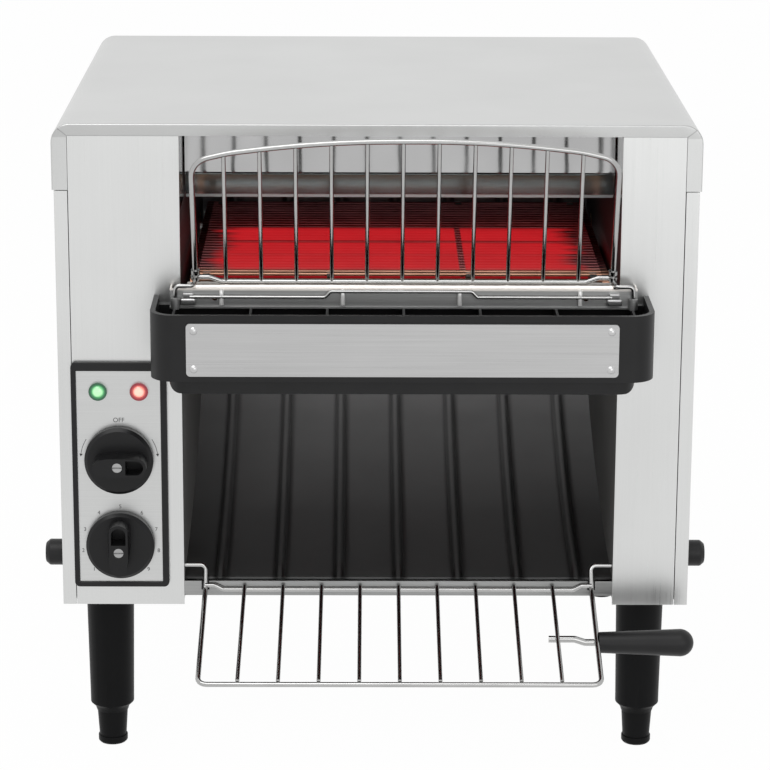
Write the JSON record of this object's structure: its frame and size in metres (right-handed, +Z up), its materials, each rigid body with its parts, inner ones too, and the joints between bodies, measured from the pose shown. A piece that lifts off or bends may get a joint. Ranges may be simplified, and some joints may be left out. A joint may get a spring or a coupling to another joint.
{
  "type": "conveyor toaster",
  "caption": "Counter-top conveyor toaster in stainless sheet: wire loading rack, glowing oven mouth with wire belt, black bumper, chute and toast rack, dial panel at the left, tall legs.",
  "frame": {"origin": "on the table, under the middle of the whole toaster's width and depth", "axes": "+Z up; -Y the way the front with the mouth and dials faces; +X to the right as seen from the front"},
  "size_m": [0.3906, 0.4186, 0.3822],
  "materials": {
    "stainless": "satin stainless sheet",
    "brushed_plate": "stainless brushed along its length",
    "polished_sheet": "bright rolled stainless",
    "dark_steel": "heat-darkened steel sheet",
    "element_sheath": "oxidised heating rod",
    "element_glow": "quartz face glowing red",
    "ceramic": "white ceramic",
    "insulation": "mineral fibre",
    "belt_wire": "heat-tinted steel wire",
    "rack_wire": "bright plated wire",
    "shaft_steel": "turned steel",
    "bronze": "sintered bronze",
    "sprocket_steel": "oiled steel",
    "motor_grey": "grey cast gearbox",
    "black_moulding": "black moulding",
    "knob_black": "semi-gloss black moulding",
    "black_enamel": "black non-stick coating",
    "leg_black": "black moulding",
    "switch_body": "pale switch body",
    "control_body": "dark control body",
    "board_green": "green circuit board",
    "fan_black": "black fan moulding",
    "lens_green": "green lens, lit",
    "lens_red": "red lens, lit",
    "screw_steel": "bright screw heads"
  },
  "bodies": {
    "casing": {"top_cover": "stainless", "side_panel_left": "stainless", "side_panel_right": "stainless", "front_panel_left": "stainless", "front_panel_right": "stainless", "inner_wall_left": "dark_steel", "inner_wall_right": "dark_steel", "rear_panel": "stainless", "base_plate": "stainless", "hood": "polished_sheet", "upper_reflector": "dark_steel", "upper_elements": "element_sheath", "lower_tray": "dark_steel", "lower_elements": "element_glow", "element_holders": "ceramic", "insulation": "insulation", "belt": "belt_wire", "belt_rail": "dark_steel", "shaft_bushes": "bronze", "gear_motor": "motor_grey", "motor_bracket": "stainless", "drive_chain": "sprocket_steel", "selector_switch": "switch_body", "speed_control": "control_body", "control_board": "board_green", "terminal_block": "ceramic", "fan_housing": "fan_black", "control_frame": "black_moulding", "control_plate": "brushed_plate", "ready_lamp": "lens_green", "power_lamp": "lens_red", "chute": "black_enamel", "bumper": "black_moulding", "front_plate": "brushed_plate", "plate_rivets": "screw_steel", "feed_plate": "stainless", "feed_guard": "rack_wire", "legs": "leg_black", "cover_screws": "screw_steel", "cord_gland": "black_moulding"},
    "selector": {"selector_spindle": "shaft_steel", "selector_knob": "knob_black"},
    "speed_setter": {"speed_spindle": "shaft_steel", "speed_knob": "knob_black"},
    "loading_rack": {"loading_rack": "rack_wire"},
    "toast_rack": {"toast_rack": "rack_wire", "rack_grip": "black_moulding"},
    "crumb_tray": {"crumb_tray": "stainless"},
    "drive_shaft": {"drive_shaft": "shaft_steel", "drive_sprockets": "sprocket_steel"},
    "idler_shaft": {"idler_shaft": "shaft_steel", "idler_sprockets": "sprocket_steel"},
    "motor_output": {"motor_sprocket": "sprocket_steel"},
    "fan_rotor": {"fan_rotor": "fan_black"},
    "side_knob_left": {"side_knob_left": "black_moulding"},
    "side_knob_right": {"side_knob_right": "black_moulding"},
    "foot_front_left": {"foot_front_left": "leg_black"},
    "foot_front_right": {"foot_front_right": "leg_black"},
    "foot_rear_left": {"foot_rear_left": "leg_black"},
    "foot_rear_right": {"foot_rear_right": "leg_black"}
  },
  "joints": [
    {"name": "selector_turn", "type": "hinge", "parent": "casing", "child": "selector", "pos_m": [-0.1484, -0.13975, 0.1864], "axis": [0, 1, 0], "range_deg": [-180, 90]},
    {"name": "speed_turn", "type": "hinge", "parent": "casing", "child": "speed_setter", "pos_m": [-0.1484, -0.13975, 0.1351], "axis": [0, 1, 0], "range_deg": [-135, 135]},
    {"name": "loading_rack_lift", "type": "slide", "parent": "casing", "child": "loading_rack", "axis": [0, 0, 1], "range_m": [0, 0.02]},
    {"name": "toast_rack_swing", "type": "hinge", "parent": "casing", "child": "toast_rack", "pos_m": [0.0134, -0.12375, 0.1194], "axis": [-1, 0, 0], "range_deg": [0, 85]},
    {"name": "crumb_tray_slide", "type": "slide", "parent": "casing", "child": "crumb_tray", "axis": [0, 1, 0], "range_m": [0, 0.28]},
    {"name": "drive_shaft_spin", "type": "hinge", "parent": "casing", "child": "drive_shaft", "pos_m": [0, 0.09185, 0.27729], "axis": [1, 0, 0], "continuous": true, "deforming": ["belt", "drive_chain"]},
    {"name": "idler_shaft_spin", "type": "hinge", "parent": "casing", "child": "idler_shaft", "pos_m": [0, -0.10975, 0.27729], "axis": [1, 0, 0], "continuous": true},
    {"name": "motor_output_spin", "type": "hinge", "parent": "casing", "child": "motor_output", "pos_m": [-0.125, 0.09185, 0.18839], "axis": [1, 0, 0], "continuous": true},
    {"name": "fan_spin", "type": "hinge", "parent": "casing", "child": "fan_rotor", "pos_m": [-0.1475, 0.19105, 0.3132], "axis": [0, 1, 0], "continuous": true},
    {"name": "side_knob_left_turn", "type": "hinge", "parent": "casing", "child": "side_knob_left", "pos_m": [-0.19, -0.09975, 0.1195], "axis": [1, 0, 0], "continuous": true},
    {"name": "side_knob_right_turn", "type": "hinge", "parent": "casing", "child": "side_knob_right", "pos_m": [0.19, -0.09975, 0.1195], "axis": [1, 0, 0], "continuous": true},
    {"name": "foot_front_left_screw", "type": "slide", "parent": "casing", "child": "foot_front_left", "axis": [0, 0, -1], "range_m": [0, 0.012]},
    {"name": "foot_rear_left_screw", "type": "slide", "parent": "casing", "child": "foot_rear_left", "axis": [0, 0, -1], "range_m": [0, 0.012]},
    {"name": "foot_front_right_screw", "type": "slide", "parent": "casing", "child": "foot_front_right", "axis": [0, 0, -1], "range_m": [0, 0.012]},
    {"name": "foot_rear_right_screw", "type": "slide", "parent": "casing", "child": "foot_rear_right", "axis": [0, 0, -1], "range_m": [0, 0.012]}
  ],
  "couplings": [
    {"joint": "idler_shaft_spin", "follows": "drive_shaft_spin", "ratio": 1},
    {"joint": "motor_output_spin", "follows": "drive_shaft_spin", "ratio": 1}
  ]
}
